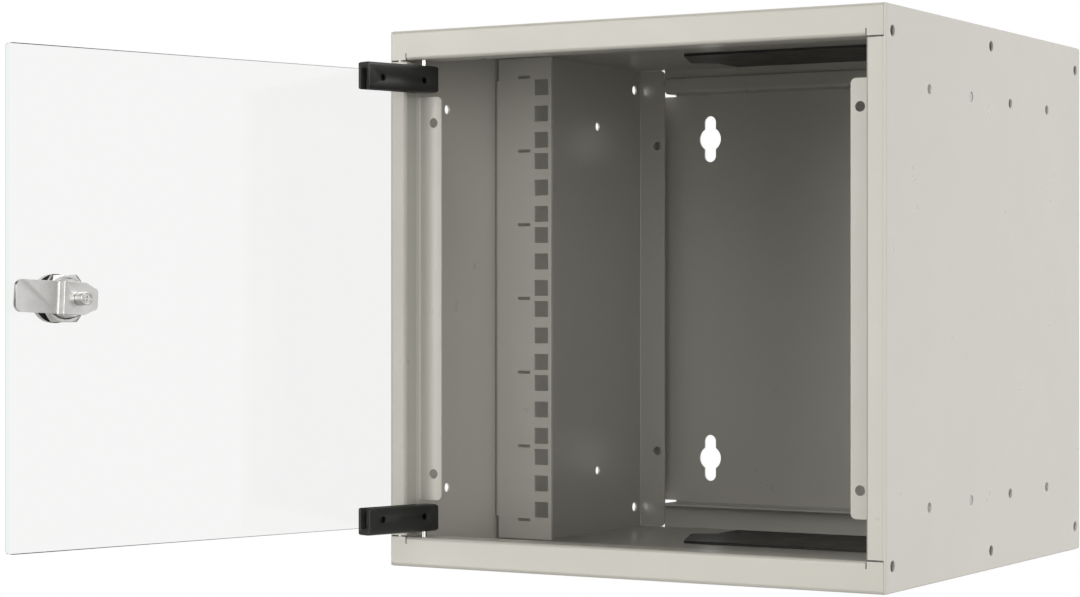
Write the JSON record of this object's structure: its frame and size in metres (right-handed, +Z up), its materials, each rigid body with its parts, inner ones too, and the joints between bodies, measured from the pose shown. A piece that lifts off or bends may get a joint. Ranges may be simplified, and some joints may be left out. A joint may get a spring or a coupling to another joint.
{
  "type": "wall mount network cabinet",
  "caption": "Wall mount network cabinet: light grey sheet steel shell, hinged clear glass door with a cam lock, square hole rack rails, cable entry covers and a keyhole back panel.",
  "frame": {"origin": "centre of the rear face that lies on the wall", "axes": "+Y into the wall, +Z up, +X to the right seen from the front; the front faces -Y"},
  "size_m": [0.3671, 0.5786, 0.305],
  "materials": {
    "grey_paint": "smooth semi-gloss powder coat",
    "black_plastic": "matte moulded",
    "black_paint": "satin black",
    "liner_rubber": "matt",
    "clear_glass": "clear tempered, polished edges",
    "screw_steel": "zinc plated",
    "bright_steel": "bright turned",
    "lock_chrome": "chrome plated"
  },
  "bodies": {
    "cabinet": {"left_side_panel": "grey_paint", "right_side_panel": "grey_paint", "top_panel": "grey_paint", "bottom_panel": "grey_paint", "back_panel": "grey_paint", "left_rack_rail": "grey_paint", "right_rack_rail": "grey_paint", "left_rail_screws": "screw_steel", "right_rail_screws": "screw_steel", "top_cable_cover": "black_plastic", "bottom_cable_cover": "black_plastic"},
    "door": {"upper_hinge_clamp": "black_paint", "upper_clamp_liner": "liner_rubber", "upper_clamp_screws": "screw_steel", "upper_hinge_pin": "bright_steel", "lower_hinge_clamp": "black_paint", "lower_clamp_liner": "liner_rubber", "lower_clamp_screws": "screw_steel", "lower_hinge_pin": "bright_steel", "glass_pane": "clear_glass", "lock_housing": "lock_chrome", "lock_outer_washer": "liner_rubber", "lock_inner_washer": "liner_rubber", "lock_nut": "lock_chrome"},
    "key_cam": {"lock_plug": "lock_chrome", "lock_cam": "lock_chrome", "cam_screw": "lock_chrome"}
  },
  "joints": [
    {"name": "door_hinge", "type": "hinge", "parent": "cabinet", "child": "door", "pos_m": [-0.1318, -0.31, 0], "axis": [0, 0, 1], "range_deg": [-4, 106.9]},
    {"name": "cam_turn", "type": "hinge", "parent": "door", "child": "key_cam", "pos_m": [-0.20417, -0.54062, 0], "axis": [-0.9568, 0.2907, 0], "range_deg": [0, 90]}
  ]
}
